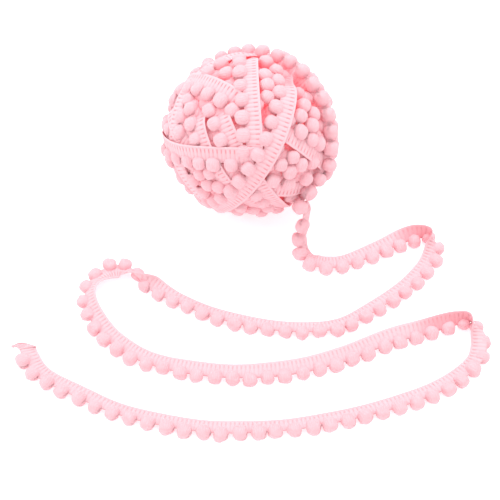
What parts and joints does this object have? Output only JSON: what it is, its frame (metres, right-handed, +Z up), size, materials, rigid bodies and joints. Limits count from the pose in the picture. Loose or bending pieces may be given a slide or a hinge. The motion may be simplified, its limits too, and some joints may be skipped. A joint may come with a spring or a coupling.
{
  "type": "pompom fringe trim",
  "caption": "Pink pompom fringe trim, wound into a ball with its loose end laid out beside it in long bends.",
  "frame": {"origin": "middle of the small flat spot that the ball rests on, level with the pompoms' undersides", "axes": "+X to the right along the long runs of the loose end, +Y from the loose end towards the ball, +Z up"},
  "size_m": [0.312, 0.2676, 0.1129],
  "materials": {
    "tape_yarn": "matt cross-ribbed tape with a smooth selvedge",
    "pompom_yarn": "soft brushed yarn",
    "wound_yarn": "wound tape and pompoms of the same yarn"
  },
  "bodies": {
    "root": {"tail_tape": "tape_yarn", "tail_pompoms": "pompom_yarn", "wound_ball": "wound_yarn"}
  },
  "joints": []
}
